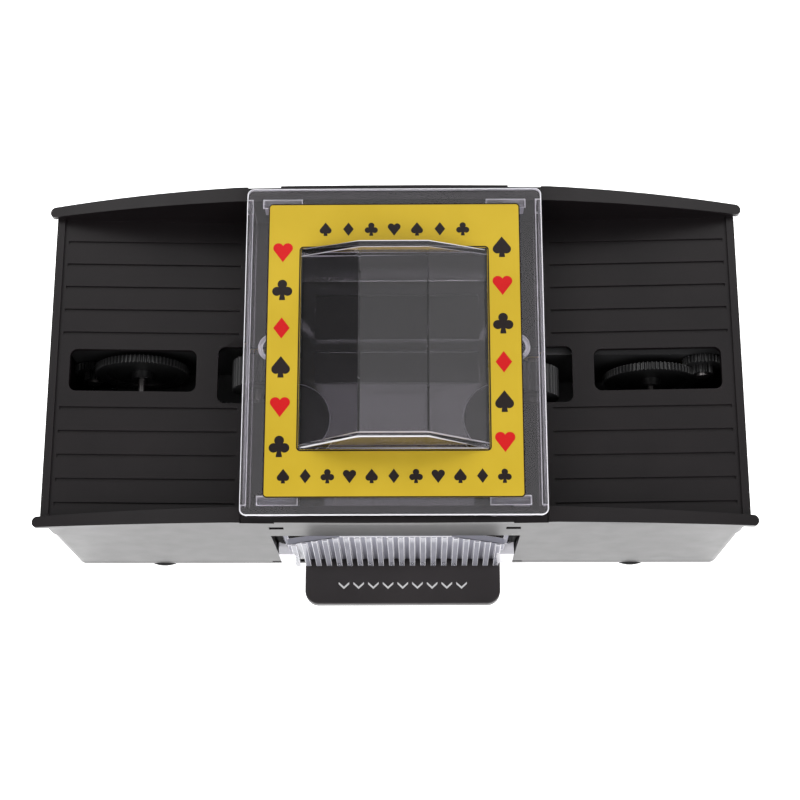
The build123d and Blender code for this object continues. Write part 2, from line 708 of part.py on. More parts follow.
def make_drawer():
    floor_top = DRAWER_FLOOR_Z + DRAWER_T
    inner = DRAWER_HALF - DRAWER_T
    front_inner = DRAWER_FACE_Y + FACE_T
    box_y = (front_inner, DRAWER_BACK_Y)
    with BuildPart() as drawer:
        block((-DRAWER_HALF, DRAWER_HALF), box_y, (DRAWER_FLOOR_Z, floor_top))
        block((-DRAWER_HALF, -inner), box_y, (floor_top, DRAWER_WALL_TOP))
        block((inner, DRAWER_HALF), box_y, (floor_top, DRAWER_WALL_TOP))
        back_y = (DRAWER_BACK_Y - DRAWER_T, DRAWER_BACK_Y)
        block((-inner, inner), back_y, (floor_top, DRAWER_WALL_TOP))
        # front plate with its sloped shoulders
        with BuildSketch(section(front_inner)):
            with BuildLine():
                Polyline(
                    (-FACE_HALF, DRAWER_FLOOR_Z),
                    (FACE_HALF, DRAWER_FLOOR_Z),
                    (FACE_HALF, FACE_END_TOP),
                    (FACE_FLAT_HALF, DRAWER_FACE_TOP),
                    (-FACE_FLAT_HALF, DRAWER_FACE_TOP),
                    (-FACE_HALF, FACE_END_TOP),
                    close=True,
                )
            make_face()
        extrude(amount=FACE_T)
        for i in range(-RIBS_PER_HALF, RIBS_PER_HALF):
            add_grip_rib((i + 0.5) * RIB_PITCH)
        for side in SIDES.values():
            # end blocks beside the ribs
            blocks = sorted((side * END_BLOCK_X[0], side * END_BLOCK_X[1]))
            block(blocks, END_BLOCK_Y, (DRAWER_FLOOR_Z, END_BLOCK_TOP))
            # finger notches in the floor and the side walls
            x, y, radius = FINGER_NOTCH
            notch_z = (DRAWER_FLOOR_Z - 1, DRAWER_WALL_TOP + 1)
            post(side * x, y, radius, notch_z, Mode.SUBTRACT)
        for opening_y in FLOOR_OPENINGS_Y:
            opening_x = (-FLOOR_OPENING_HALF, FLOOR_OPENING_HALF)
            block(opening_x, opening_y, (DRAWER_FLOOR_Z - 1, floor_top + 1), Mode.SUBTRACT)
    save(drawer, "card_drawer")


def add_grip_rib(x):
    """One upright rib that deepens towards the bottom of the drawer's front."""
    top = face_top(x) - RIB_DROP
    with BuildSketch(side_view(x - RIB_WIDTH / 2)) as rib:
        with BuildLine():
            Polyline(
                (DRAWER_FACE_Y + RIB_ROOT, DRAWER_FLOOR_Z),
                (DRAWER_FACE_Y - RIB_DEPTH[1], DRAWER_FLOOR_Z),
                (DRAWER_FACE_Y - RIB_DEPTH[0], top),
                (DRAWER_FACE_Y + RIB_ROOT, top),
                close=True,
            )
        make_face()
    extrude(rib.sketch, amount=RIB_WIDTH)


# ---------------------------------------------------------------- press lever and switch
def make_lever():
    left = LEVER_X - LEVER_WIDTH / 2
    right = LEVER_X + LEVER_WIDTH / 2
    with BuildPart() as lever:
        with BuildSketch(level(TAB_BOTTOM)) as tab:
            with Locations((LEVER_X, (LEVER_FRONT_Y + TAB_BACK_Y) / 2)):
                Rectangle(LEVER_WIDTH, TAB_BACK_Y - LEVER_FRONT_Y)
            fillet(tab.vertices().group_by(Axis.Y)[0], TAB_CORNER_R)
        extrude(amount=LEVER_TOP - TAB_BOTTOM)
        # thinned over the base plate's front edge
        thinned_y = (TAB_STEP_Y, TAB_BACK_Y + 1)
        block((left - 1, right + 1), thinned_y, (TAB_BOTTOM - 1, ARM_BOTTOM), Mode.SUBTRACT)
        # the main arm to the pin, and the side arm with the pad that presses the switch
        arm_x = (-ARM_HALF_WIDTH, ARM_HALF_WIDTH)
        block(arm_x, (TAB_BACK_Y, PIVOT_Y), (ARM_BOTTOM, LEVER_TOP))
        block((SIDE_ARM_X, -ARM_HALF_WIDTH), ARM_Y, (ARM_BOTTOM, LEVER_TOP))
        upright_x = (SIDE_ARM_X, SIDE_ARM_X + SIDE_ARM_T)
        block(upright_x, ARM_Y, (LEVER_TOP, PAD_Z + PAD_T))
        block((PLUNGER_X - 2.5, upright_x[1]), ARM_Y, (PAD_Z, PAD_Z + PAD_T))
        cross_bar(ARM_HALF_WIDTH, LEVER_TOP - PIVOT_Z)
        cross_bar(ARM_HALF_WIDTH + 1, PIVOT_R + RUNNING_CLEARANCE, Mode.SUBTRACT)
    save(lever, "press_lever")


def cross_bar(half_length, radius, mode=Mode.ADD):
    """A round bar along the lever's axis."""
    with BuildSketch(side_view(-half_length)) as outline:
        with Locations((PIVOT_Y, PIVOT_Z)):
            Circle(radius)
    extrude(outline.sketch, amount=2 * half_length, mode=mode)


def make_lever_fittings():
    with BuildPart() as pin:
        cross_bar(PIVOT_RIB_X + PIVOT_RIB_T / 2, PIVOT_R)
    save(pin, "lever_pin")

    with BuildPart() as spring:
        ends = (BASE_FLOOR_TOP, ARM_BOTTOM)
        coil(0, SPRING_Y, ends, SPRING_R, SPRING_WIRE_R, SPRING_TURNS)
    save(spring, "lever_spring")

    middle_y = sum(ARM_Y) / 2
    with BuildPart() as switch:
        block(SWITCH_X, ARM_Y, (BASE_FLOOR_TOP, SWITCH_TOP))
        post(PLUNGER_X, middle_y, PLUNGER_R + 0.1, (SWITCH_TOP - 3, SWITCH_TOP), Mode.SUBTRACT)
        for x in (PLUNGER_X - SWITCH_PIN_PITCH, PLUNGER_X, PLUNGER_X + SWITCH_PIN_PITCH):
            block((x - 0.3, x + 0.3), (ARM_Y[1], ARM_Y[1] + 3), SWITCH_PIN_Z)
    save(switch, "switch_body")

    with BuildPart() as plunger:
        post(PLUNGER_X, middle_y, PLUNGER_R, (SWITCH_TOP - 1.6, PAD_Z - 0.05))
    save(plunger, "switch_plunger")


def coil(x, y, z_range, radius, wire_r, turns):
    """A compression spring that stands upright between two heights."""
    height = z_range[1] - z_range[0] - 2 * wire_r
    path = Helix(pitch=height / turns, height=height, radius=radius)
    path = path.locate(Location((x, y + MID_Y, z_range[0] + wire_r)))
    with BuildSketch(Plane(origin=path @ 0, z_dir=path % 0)) as wire:
        Circle(wire_r)
    sweep(wire.sketch, path=path)


def flat_coil(x, y, z, length, radius, wire_r, turns):
    """A battery spring along X that starts at x and runs by the signed length."""
    towards = math.copysign(1, length)
    path = Helix(pitch=abs(length) / turns, height=abs(length), radius=radius)
    frame = Plane(origin=(x, y + MID_Y, z), x_dir=(0, 1, 0), z_dir=(towards, 0, 0))
    path = path.moved(frame.location)
    with BuildSketch(Plane(origin=path @ 0, z_dir=path % 0)) as wire:
        Circle(wire_r)
    sweep(wire.sketch, path=path)


# ---------------------------------------------------------------- gear trains
def make_train(name, side):
    shift = RIGHT_TRAIN_SHIFT if side > 0 else 0.0
    disc = (DISC_Y + shift, DISC_Y + GEAR_FACE + shift)
    rear = (disc[1] + GEAR_GAP, disc[1] + GEAR_GAP + GEAR_FACE)
    front = (FRONT_GEAR_Y + shift, FRONT_GEAR_Y + GEAR_FACE + shift)
    rear_plate = (REAR_PLATE[0] + shift, REAR_PLATE[1] + shift)
    front_plate = (FRONT_PLATE[0] + shift, FRONT_PLATE[1] + shift)

    drive = (side * DRIVE_X, DRIVE_Z)
    roller = (side * ROLLER_X, ROLLER_Z)
    away = outward_angle(REDUCTION_ANGLE[name], side)
    below = outward_angle(MOTOR_ANGLE[name], side)
    to_reduction = pitch_radius(DRIVE_TEETH) + pitch_radius(REDUCTION_PINION_TEETH)
    reduction = polar(drive, to_reduction, away)
    motor = polar(reduction, pitch_radius(REDUCTION_TEETH) + pitch_radius(PINION_TEETH), below)
    idler = idler_centre(
        drive,
        roller,
        pitch_radius(FEED_TEETH) + pitch_radius(IDLER_TEETH),
        pitch_radius(IDLER_TEETH) + pitch_radius(ROLLER_TEETH),
    )

    drive_phase = math.pi / 2
    reduction_phase = meshed_phase(
        drive, drive_phase, DRIVE_TEETH, reduction, REDUCTION_PINION_TEETH
    )
    pinion_phase = meshed_phase(reduction, reduction_phase, REDUCTION_TEETH, motor, PINION_TEETH)
    idler_phase = meshed_phase(drive, drive_phase, FEED_TEETH, idler, IDLER_TEETH)
    roller_phase = meshed_phase(idler, idler_phase, IDLER_TEETH, roller, ROLLER_TEETH)

    make_motor(name, motor, pinion_phase, rear, rear_plate)

    with BuildPart() as gear:
        gear_wheel(reduction, REDUCTION_TEETH, reduction_phase, rear)
        gear_wheel(reduction, REDUCTION_PINION_TEETH, reduction_phase, (disc[0], rear[0]))
        rod(*reduction, SHAFT_R + RUNNING_CLEARANCE, (disc[0], rear[1]), Mode.SUBTRACT)
    save(gear, f"{name}_reduction_gear")
    with BuildPart() as pin:
        head_end = disc[0] - PIN_HEAD_GAP
        rod(*reduction, SHAFT_R, (head_end - PIN_HEAD_T, rear_plate[1]))
        rod(*reduction, PIN_HEAD_R, (head_end - PIN_HEAD_T, head_end))
    save(pin, f"{name}_reduction_pin")

    with BuildPart() as disc_gear:
        gear_wheel(drive, DRIVE_TEETH, drive_phase, disc)
        rod(*drive, RECESS_R, (disc[1] - RECESS_DEPTH, disc[1]), Mode.SUBTRACT)
        rod(*drive, RECESS_R, (disc[0], disc[0] + RECESS_DEPTH), Mode.SUBTRACT)
        rod(*drive, HUB_R, (disc[0] - 1.4, disc[1]))
        rod(*drive, SHAFT_R, (disc[0] - 2, disc[1] + 1), Mode.SUBTRACT)
    save(disc_gear, f"{name}_drive_gear")
    with BuildPart() as feed:
        gear_wheel(drive, FEED_TEETH, drive_phase, front)
        rod(*drive, HUB_R, (front[1], front[1] + 1.2))
        rod(*drive, SHAFT_R, (front[0] - 1, front[1] + 2), Mode.SUBTRACT)
    save(feed, f"{name}_feed_gear")
    with BuildPart() as shaft:
        shaft_ends = (front_plate[0] - SHAFT_OVERHANG, rear_plate[1] + SHAFT_OVERHANG)
        rod(*drive, SHAFT_R, shaft_ends)
    save(shaft, f"{name}_drive_shaft")

    with BuildPart() as idler_gear:
        gear_wheel(idler, IDLER_TEETH, idler_phase, front)
        rod(*idler, SHAFT_R + RUNNING_CLEARANCE, (front[0] - 1, front[1] + 1), Mode.SUBTRACT)
    save(idler_gear, f"{name}_idler_gear")
    with BuildPart() as idler_pin:
        head = front[1] + PIN_HEAD_GAP
        rod(*idler, SHAFT_R, (front_plate[0], head + PIN_HEAD_T))
        rod(*idler, PIN_HEAD_R, (head, head + PIN_HEAD_T))
    save(idler_pin, f"{name}_idler_pin")

    make_roller(name, roller, roller_phase, front, shaft_ends, shift)
    plates = (front_plate, rear_plate)
    make_gear_frame(name, side, (drive, roller), (reduction, idler), motor, plates)


def make_motor(name, centre, phase, pinion_y, plate):
    face = plate[1]
    can_end = face + MOTOR_CAN_L
    inner_r = MOTOR_R - MOTOR_SHELL
    inner_flat = MOTOR_FLAT - 2 * MOTOR_SHELL
    with BuildPart() as can:
        for radius, flat, span, mode in (
            (MOTOR_R, MOTOR_FLAT, (face, can_end), Mode.ADD),
            (inner_r, inner_flat, (face + MOTOR_SHELL, can_end), Mode.SUBTRACT),
        ):
            with BuildSketch(section(span[1])):
                with Locations(centre):
                    Circle(radius)
                    Rectangle(2 * radius, flat, mode=Mode.INTERSECT)
            extrude(amount=span[1] - span[0], mode=mode)
        rod(*centre, MOTOR_BOSS_R, (plate[0] + 0.4, face + MOTOR_SHELL))
        rod(*centre, MOTOR_SHAFT_R + RUNNING_CLEARANCE, (plate[0], face + 2), Mode.SUBTRACT)
    save(can, f"{name}_motor_can")

    with BuildPart() as cap:
        with BuildSketch(section(can_end + MOTOR_CAP_L)):
            with Locations(centre):
                Circle(MOTOR_R)
                Rectangle(2 * MOTOR_R, MOTOR_FLAT, mode=Mode.INTERSECT)
        extrude(amount=MOTOR_CAP_L)
        socket = (can_end, can_end + MOTOR_SOCKET)
        rod(*centre, MOTOR_SHAFT_R + RUNNING_CLEARANCE, socket, Mode.SUBTRACT)
        width, length, thickness = TERMINAL
        terminal_y = (can_end + MOTOR_CAP_L, can_end + MOTOR_CAP_L + length)
        terminal_z = (centre[1] - thickness / 2, centre[1] + thickness / 2)
        for x in (centre[0] - TERMINAL_X, centre[0] + TERMINAL_X):
            block((x - width / 2, x + width / 2), terminal_y, terminal_z)
    save(cap, f"{name}_motor_cap")

    with BuildPart() as rotor:
        rod(*centre, MOTOR_SHAFT_R, (pinion_y[0], can_end + MOTOR_SOCKET - 0.1))
        core = (face + ROTOR_GAP, can_end - ROTOR_GAP)
        rod(*centre, ROTOR_R, core)
        for arm in range(3):
            slot = polar(centre, ROTOR_R, math.radians(90 + 120 * arm))
            rod(*slot, ROTOR_SLOT_R, core, Mode.SUBTRACT)
    save(rotor, f"{name}_motor_rotor")

    with BuildPart() as pinion:
        gear_wheel(centre, PINION_TEETH, phase, pinion_y)
        rod(*centre, MOTOR_SHAFT_R, (pinion_y[0] - 1, pinion_y[1] + 1), Mode.SUBTRACT)
    save(pinion, f"{name}_motor_pinion")


def make_roller(name, centre, phase, gear_y, shaft_ends, shift):
    middle = ROLLER_OFFSET + shift
    span = (middle - ROLLER_LENGTH / 2, middle + ROLLER_LENGTH / 2)
    with BuildPart() as shaft:
        rod(*centre, SHAFT_R, shaft_ends)
    save(shaft, f"{name}_roller_shaft")
    with BuildPart() as gear:
        gear_wheel(centre, ROLLER_TEETH, phase, gear_y)
        rod(*centre, SHAFT_R, (gear_y[0] - 1, gear_y[1] + 1), Mode.SUBTRACT)
    save(gear, f"{name}_roller_gear")
    with BuildPart() as hub:
        rod(*centre, ROLLER_HUB_R, span)
        rod(*centre, SHAFT_R, (span[0] - 1, span[1] + 1), Mode.SUBTRACT)
    save(hub, f"{name}_roller_hub")
    with BuildPart() as tyre:
        rod(*centre, ROLLER_R - 0.5, span)
        with BuildSketch(section(span[1])):
            with Locations(centre):
                with PolarLocations(ROLLER_R - TYRE_RIB_R, TYRE_RIBS):
                    Circle(TYRE_RIB_R)
        extrude(amount=ROLLER_LENGTH)
        rod(*centre, ROLLER_HUB_R, (span[0] - 1, span[1] + 1), Mode.SUBTRACT)
    save(tyre, f"{name}_roller_tyre")


def make_gear_frame(name, side, shafts, pins, motor, plates):
    """Two bearing plates on a common web, with bushes for the two turning shafts."""
    front_plate, rear_plate = plates
    whole = (front_plate[0] - 1, rear_plate[1] + 1)
    front_hole = (front_plate[0] - 1, front_plate[1] + 1)
    rear_hole = (rear_plate[0] - 1, rear_plate[1] + 1)
    with BuildPart() as frame:
        span = sorted((side * FRAME_X[0], side * FRAME_X[1]))
        for plate in plates:
            block(span, plate, (WEB_Z[0], FRAME_TOP))
        web_x = sorted((side * FRAME_X[0], side * WEB_X))
        block(web_x, (front_plate[0], rear_plate[1]), WEB_Z)
        for leg in FRAME_LEGS:
            leg_x = sorted((side * leg[0], side * leg[1]))
            block(leg_x, front_plate, (BASE_FLOOR_TOP, WEB_Z[1]))
        for centre in shafts:
            rod(*centre, BUSH_R, whole, Mode.SUBTRACT)
        rod(*pins[0], SHAFT_R, whole, Mode.SUBTRACT)
        rod(*pins[1], SHAFT_R, front_hole, Mode.SUBTRACT)
        rod(*motor, MOTOR_BOSS_R + 0.1, rear_hole, Mode.SUBTRACT)
    save(frame, f"{name}_gear_frame")

    with BuildPart() as bushes:
        for centre in shafts:
            for plate in plates:
                rod(*centre, BUSH_R, plate)
            rod(*centre, SHAFT_R + RUNNING_CLEARANCE, whole, Mode.SUBTRACT)
    save(bushes, f"{name}_shaft_bushes")


# ---------------------------------------------------------------- batteries
def bar(x_range, y, z, radius):
    """A round bar along X."""
    start, end = sorted(x_range)
    with BuildSketch(side_view(start)) as outline:
        with Locations((y, z)):
            Circle(radius)
    extrude(outline.sketch, amount=end - start)


def make_batteries(name, side):
    middle = side * BAY_MIDDLE_X
    rows = {CELL_Y - CELL_PITCH / 2: side, CELL_Y + CELL_PITCH / 2: -side}
    nub_r, nub_l = CELL_NUB
    nub_tip = CONTACT_REACH - CONTACT_GAP
    flat_end = nub_tip - nub_l - CELL_BODY_L
    with BuildPart() as cells:
        for y, nub_way in rows.items():
            shoulder = middle + nub_way * (nub_tip - nub_l)
            bar((shoulder, middle + nub_way * flat_end), y, CELL_Z, CELL_R)
            bar((shoulder, middle + nub_way * nub_tip), y, CELL_Z, nub_r)
    save(cells, f"{name}_battery_cells")

    coil_r, wire, turns = CELL_SPRING
    length = CONTACT_REACH + flat_end - 2 * (wire + SPRING_END_GAP)
    with BuildPart() as springs:
        for y, nub_way in rows.items():
            start = middle + nub_way * (flat_end - wire - SPRING_END_GAP)
            flat_coil(start, y, CELL_Z, -nub_way * length, coil_r, wire, turns)
    save(springs, f"{name}_battery_springs")

    with BuildPart() as contacts:
        for way in (-1, 1):
            face = middle + way * CONTACT_REACH
            for y in rows:
                width_y = (y - CONTACT_HALF_WIDTH, y + CONTACT_HALF_WIDTH)
                block(sorted((face, face + way * CONTACT_T)), width_y, CONTACT_Z)
        inner = middle - side * CONTACT_REACH
        bridge_y = (CELL_Y - BRIDGE_HALF_WIDTH, CELL_Y + BRIDGE_HALF_WIDTH)
        block(sorted((inner, inner - side * CONTACT_T)), bridge_y, BRIDGE_Z)
    save(contacts, f"{name}_battery_contacts")

    with BuildPart() as door:
        span = sorted((side * DOOR_X[0], side * DOOR_X[1]))
        block(span, DOOR_Y, (FEET_H, FEET_H + DOOR_T))
        first, pitch, count = DOOR_GRIP
        width, length, depth = DOOR_GRIP_SIZE
        groove_y = (CELL_Y - length / 2, CELL_Y + length / 2)
        for i in range(count):
            x = side * (first + pitch * i)
            groove_x = (x - width / 2, x + width / 2)
            block(groove_x, groove_y, (FEET_H - 1, FEET_H + depth), Mode.SUBTRACT)
    save(door, f"{name}_battery_door")


os.makedirs("parts", exist_ok=True)
make_upper_housing()
make_lower_housing()
make_base_plate()
make_feet()
make_screws()
make_cover()
make_label()
make_drawer()
make_lever()
make_lever_fittings()
for side_name, side_sign in SIDES.items():
    make_train(side_name, side_sign)
    make_batteries(side_name, side_sign)
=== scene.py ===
import json
import math

import bmesh
import bpy
from mathutils import Matrix, Vector


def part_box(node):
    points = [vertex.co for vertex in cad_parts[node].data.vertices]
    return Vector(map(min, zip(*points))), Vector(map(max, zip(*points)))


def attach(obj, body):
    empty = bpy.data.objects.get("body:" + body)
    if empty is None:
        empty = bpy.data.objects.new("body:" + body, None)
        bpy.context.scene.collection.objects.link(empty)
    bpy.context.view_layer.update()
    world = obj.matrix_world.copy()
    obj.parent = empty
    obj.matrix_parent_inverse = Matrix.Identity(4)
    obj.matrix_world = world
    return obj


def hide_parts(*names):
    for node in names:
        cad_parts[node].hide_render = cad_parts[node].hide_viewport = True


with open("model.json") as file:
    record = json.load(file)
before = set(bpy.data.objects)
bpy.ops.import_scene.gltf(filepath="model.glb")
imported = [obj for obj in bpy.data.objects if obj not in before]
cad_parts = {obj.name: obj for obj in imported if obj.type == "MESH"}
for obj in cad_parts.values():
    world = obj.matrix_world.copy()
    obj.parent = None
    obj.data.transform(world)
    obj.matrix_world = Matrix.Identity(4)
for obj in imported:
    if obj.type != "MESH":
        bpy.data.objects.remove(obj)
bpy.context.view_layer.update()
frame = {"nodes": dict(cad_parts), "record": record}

MM = 0.001
MID_Y = sum(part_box("lower_housing")[i].y for i in (0, 1)) / 2


# ---------------------------------------------------------------- materials
WIDE_NOISE = 60.0  # noise scales, in waves per metre
GLOSS_NOISE = 140.0
GRAIN_NOISE = 2500.0
GRAIN_DEPTH = 0.02 * MM
METAL_COLOUR_NOISE = 300.0
METAL_GLOSS_NOISE = 500.0
METAL_GRAIN_NOISE = 1800.0
METAL_GRAIN_DEPTH = 0.01 * MM
CLEAR_GLOSS_NOISE = 200.0
ACRYLIC_IOR = 1.49


def new_material(name, **settings):
    """A principled material; settings go straight onto the shader's sockets."""
    material = bpy.data.materials.new(name)
    material.use_nodes = True
    shader = material.node_tree.nodes["Principled BSDF"]
    for key, value in settings.items():
        shader.inputs[key.replace("_", " ")].default_value = value
    return material, material.node_tree, shader


def object_noise(tree, scale, detail=3.0):
    place = tree.nodes.new("ShaderNodeTexCoord")
    noise = tree.nodes.new("ShaderNodeTexNoise")
    noise.inputs["Scale"].default_value = scale
    noise.inputs["Detail"].default_value = detail
    noise.inputs["Roughness"].default_value = 0.5
    tree.links.new(place.outputs["Object"], noise.inputs["Vector"])
    return noise


def vary_roughness(tree, shader, low, high, scale):
    noise = object_noise(tree, scale)
    ramp = tree.nodes.new("ShaderNodeMapRange")
    ramp.inputs["To Min"].default_value = low
    ramp.inputs["To Max"].default_value = high
    tree.links.new(noise.outputs["Fac"], ramp.inputs["Value"])
    tree.links.new(ramp.outputs["Result"], shader.inputs["Roughness"])


def vary_colour(tree, shader, dark, light, scale):
    noise = object_noise(tree, scale, 4.0)
    ramp = tree.nodes.new("ShaderNodeValToRGB")
    ramp.color_ramp.elements[0].color = (*dark, 1)
    ramp.color_ramp.elements[1].color = (*light, 1)
    ramp.color_ramp.elements[0].position = 0.3
    ramp.color_ramp.elements[1].position = 0.7
    tree.links.new(noise.outputs["Fac"], ramp.inputs["Fac"])
    tree.links.new(ramp.outputs["Color"], shader.inputs["Base Color"])


def bump(tree, shader, scale, depth):
    noise = object_noise(tree, scale, 2.0)
    made = tree.nodes.new("ShaderNodeBump")
    made.inputs["Strength"].default_value = 0.5
    made.inputs["Distance"].default_value = depth
    tree.links.new(noise.outputs["Fac"], made.inputs["Height"])
    tree.links.new(made.outputs["Normal"], shader.inputs["Normal"])


def moulded(name, dark, light, rough, **settings):
    """Moulded plastic: slight colour and gloss variation with a fine grain."""
    material, tree, shader = new_material(name, **settings)
    vary_colour(tree, shader, dark, light, WIDE_NOISE)
    vary_roughness(tree, shader, rough - 0.04, rough + 0.05, GLOSS_NOISE)
    bump(tree, shader, GRAIN_NOISE, GRAIN_DEPTH)
    return material


def metal(name, colour, rough):
    dark = tuple(channel * 0.85 for channel in colour)
    material, tree, shader = new_material(name, Metallic=1.0)
    vary_colour(tree, shader, dark, colour, METAL_COLOUR_NOISE)
    vary_roughness(tree, shader, rough - 0.05, rough + 0.08, METAL_GLOSS_NOISE)
    bump(tree, shader, METAL_GRAIN_NOISE, METAL_GRAIN_DEPTH)
    return material


def clear(name, tint, rough, weight=1.0):
    """Clear plastic; a weight below 1 mixes in the tint as an opaque colour."""
    material, tree, shader = new_material(name, Transmission_Weight=weight, IOR=ACRYLIC_IOR)
    shader.inputs["Base Color"].default_value = (*tint, 1)
    vary_roughness(tree, shader, rough, rough + 0.02, CLEAR_GLOSS_NOISE)
    return material


DULL = {"Specular_IOR_Level": 0.2}
PRINTED = {"Specular_IOR_Level": 0.15}
MATERIALS = {
    "shell": moulded("shell_black", (0.0052, 0.0038, 0.0044), (0.0074, 0.0056, 0.0064), 0.33),
    "tray": moulded("tray_black", (0.0042, 0.003, 0.0036), (0.006, 0.0044, 0.005), 0.42, **DULL),
    "lever": moulded("lever_black", (0.018, 0.015, 0.016), (0.024, 0.02, 0.021), 0.4),
    "inner": moulded("inner_black", (0.012, 0.012, 0.013), (0.02, 0.02, 0.021), 0.45),
    "rubber": moulded("rubber_black", (0.012, 0.012, 0.013), (0.022, 0.022, 0.023), 0.6),
    "clear": clear("clear_cover", (0.9, 0.86, 0.93), 0.01),
    # painted highlight: a whiter, half-opaque clear material for rounded edges, which stands in
    # for the light they catch
    "painted_edge_highlight": clear("clear_cover_painted_edge_highlight", (0.86, 0.85, 0.9), 0.15, 0.35),
    "drawer": clear("clear_drawer", (0.97, 0.97, 0.98), 0.02),
    # painted light: pale, partly opaque ribs and plate on the drawer's front, which stand in for
    # the bright floor seen through the clear plastic
    "rib_painted_light": clear("clear_rib_painted_light", (0.42, 0.42, 0.48), 0.08, 0.5),
    "plate_painted_light": clear("clear_plate_painted_light", (0.36, 0.36, 0.42), 0.1, 0.3),
    "label": moulded("label_yellow", (0.37, 0.257, 0.014), (0.4, 0.28, 0.018), 0.35, **PRINTED),
    "nylon": moulded("gear_nylon", (0.55, 0.55, 0.52), (0.68, 0.68, 0.64), 0.4),
    "dark_gear": moulded("gear_dark", (0.006, 0.006, 0.0065), (0.01, 0.01, 0.0105), 0.4),
    "dark_steel": metal("shaft_dark", (0.16, 0.15, 0.15), 0.4),
    "steel": metal("shaft_steel", (0.6, 0.6, 0.62), 0.25),
    "brass": metal("pinion_brass", (0.72, 0.5, 0.2), 0.3),
    "jacket": moulded("cell_jacket", (0.1, 0.11, 0.13), (0.14, 0.15, 0.17), 0.3),
    "ink": moulded("ink_dark", (0.007, 0.004, 0.004), (0.011, 0.007, 0.007), 0.4, **PRINTED),
    "red_ink": moulded("ink_red", (0.38, 0.003, 0.004), (0.42, 0.005, 0.006), 0.4, **PRINTED),
    "white_ink": moulded("ink_white", (0.55, 0.55, 0.55), (0.62, 0.62, 0.62), 0.4),
    "red": moulded("switch_red", (0.4, 0.02, 0.02), (0.5, 0.03, 0.03), 0.4),
}


def material_for(name):
    if name == "press_lever":
        return "lever"
    if name.endswith(("housing", "base_plate", "door")):
        return "shell"
    if name.endswith(("feet", "tyre")):
        return "rubber"
    if name.endswith(("pinion", "bushes")):
        return "brass"
    if name.endswith(("gear", "hub")):
        return "dark_gear"
    if name.endswith(("drive_shaft", "roller_shaft", "_pin")):
        return "dark_steel"
    if name.endswith("motor_cap"):
        return "nylon"
    if name.endswith(("frame", "switch_body")):
        return "inner"
    if name.endswith("cells"):
        return "jacket"
    if name.endswith("plunger"):
        return "red"
    return "steel"


# ---------------------------------------------------------------- pieces
SAME_POINT = 1e-6
FLAT_UNDER = math.radians(0.6)  # two faces that are one flat face
BEVEL_OVER = math.radians(30)  # an edge that gets rounded
SMOOTH_UNDER = math.radians(18)  # two faces of one curved surface
BEVEL_SEGMENTS = 2
EDGE_WIDTHS = {
    "upper_housing": 0.35 * MM,
    "lower_housing": 0.35 * MM,
    "base_plate": 0.3 * MM,
    "press_lever": 0.4 * MM,
}
COVER_EDGE_WIDTH = 0.34 * MM
DRAWER_EDGE_WIDTH = 0.2 * MM

TRAY_UNDERSIDE = 48.0 * MM
WALL_INSIDE_Y = 46.5 * MM
END_INSIDE_X = 101.5 * MM
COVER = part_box("clear_cover")
COVER_HALF_Y = (COVER[1].y - COVER[0].y) / 2
COVER_PLATE_Z = COVER[1].z - 11.2 * MM
# the cover's corner hooks, which get a painted glint
HOOK_X = (27.0 * MM, 39.8 * MM)
HOOK_REACH = 7.0 * MM
DRAWER_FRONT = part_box("card_drawer")[0].y + 4.4 * MM
PLATE_FACE_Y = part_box("card_drawer")[0].y + 2.2 * MM
# the end blocks of the drawer's front, which get a painted highlight
END_BLOCK_X = 31.0 * MM
END_BLOCK_TOP = 23.2 * MM
NOTCH = (31.5 * MM, -3.0 * MM, 11.5 * MM)  # a finger notch's x, y and radius
# the width of the painted highlight round the finger notches
NOTCH_HIGHLIGHT_BAND = 0.4 * MM


def body_name(name):
    for body, nodes in frame["record"]["behaviour"]["bodies"].items():
        if name in nodes:
            return body
    raise KeyError(name)


def cleaned_mesh(source, split):
    """A copy of a CAD mesh with its flat faces joined, or split anew into triangles."""
    mesh = source.data.copy()
    shape = bmesh.new()
    shape.from_mesh(mesh)
    bmesh.ops.remove_doubles(shape, verts=shape.verts, dist=SAME_POINT)
    bmesh.ops.dissolve_limit(
        shape, angle_limit=FLAT_UNDER, verts=shape.verts, edges=shape.edges
    )
    if split:
        bmesh.ops.triangulate(shape, faces=shape.faces)
    shape.to_mesh(mesh)
    shape.free()
    if "custom_normal" in mesh.attributes:
        mesh.attributes.remove(mesh.attributes["custom_normal"])
    return mesh


def round_edges(made, width, edge_slot):
    """Rounds the edges into strips with the slot's material; in a slot of their own
    all strips keep their full width, also where they meet."""
    edge = made.modifiers.new("edge", "BEVEL")
    edge.width = width
    edge.segments = BEVEL_SEGMENTS
    edge.limit_method = "ANGLE"
    edge.angle_limit = BEVEL_OVER
    edge.material = edge_slot
    edge.use_clamp_overlap = edge_slot == 0
    settled = made.evaluated_get(bpy.context.evaluated_depsgraph_get())
    made.data = bpy.data.meshes.new_from_object(settled)
    made.modifiers.clear()


def refined(name, width, materials, edge_slot=0, split=False):
    """A cleaned copy of a CAD node with rounded edges, which stands for it."""
    mesh = cleaned_mesh(frame["nodes"][name], split)
    mesh.materials.clear()
    for key in materials:
        mesh.materials.append(MATERIALS[key])
    made = bpy.data.objects.new("seen_" + name, mesh)
    bpy.context.collection.objects.link(made)
    round_edges(made, width, edge_slot)
    made.data.shade_smooth()
    made.data.set_sharp_from_angle(angle=SMOOTH_UNDER)
    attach(made, body_name(name))
    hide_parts(name)
    return made


def painted(mesh, choose):
    """Gives each face the slot that choose returns for it, or leaves it as it is."""
    for face in mesh.polygons:
        index = choose(face)
        if index is not None:
            face.material_index = index


def tray_part(face):
    """The trays, the rim's top and all that faces inwards have a duller finish."""
    between_walls = abs(face.center.y - MID_Y) < WALL_INSIDE_Y
    inward = between_walls and abs(face.center.x) < END_INSIDE_X
    upward = face.normal.z > 0.5
    return 1 if (inward or upward) and face.center.z > TRAY_UNDERSIDE else None


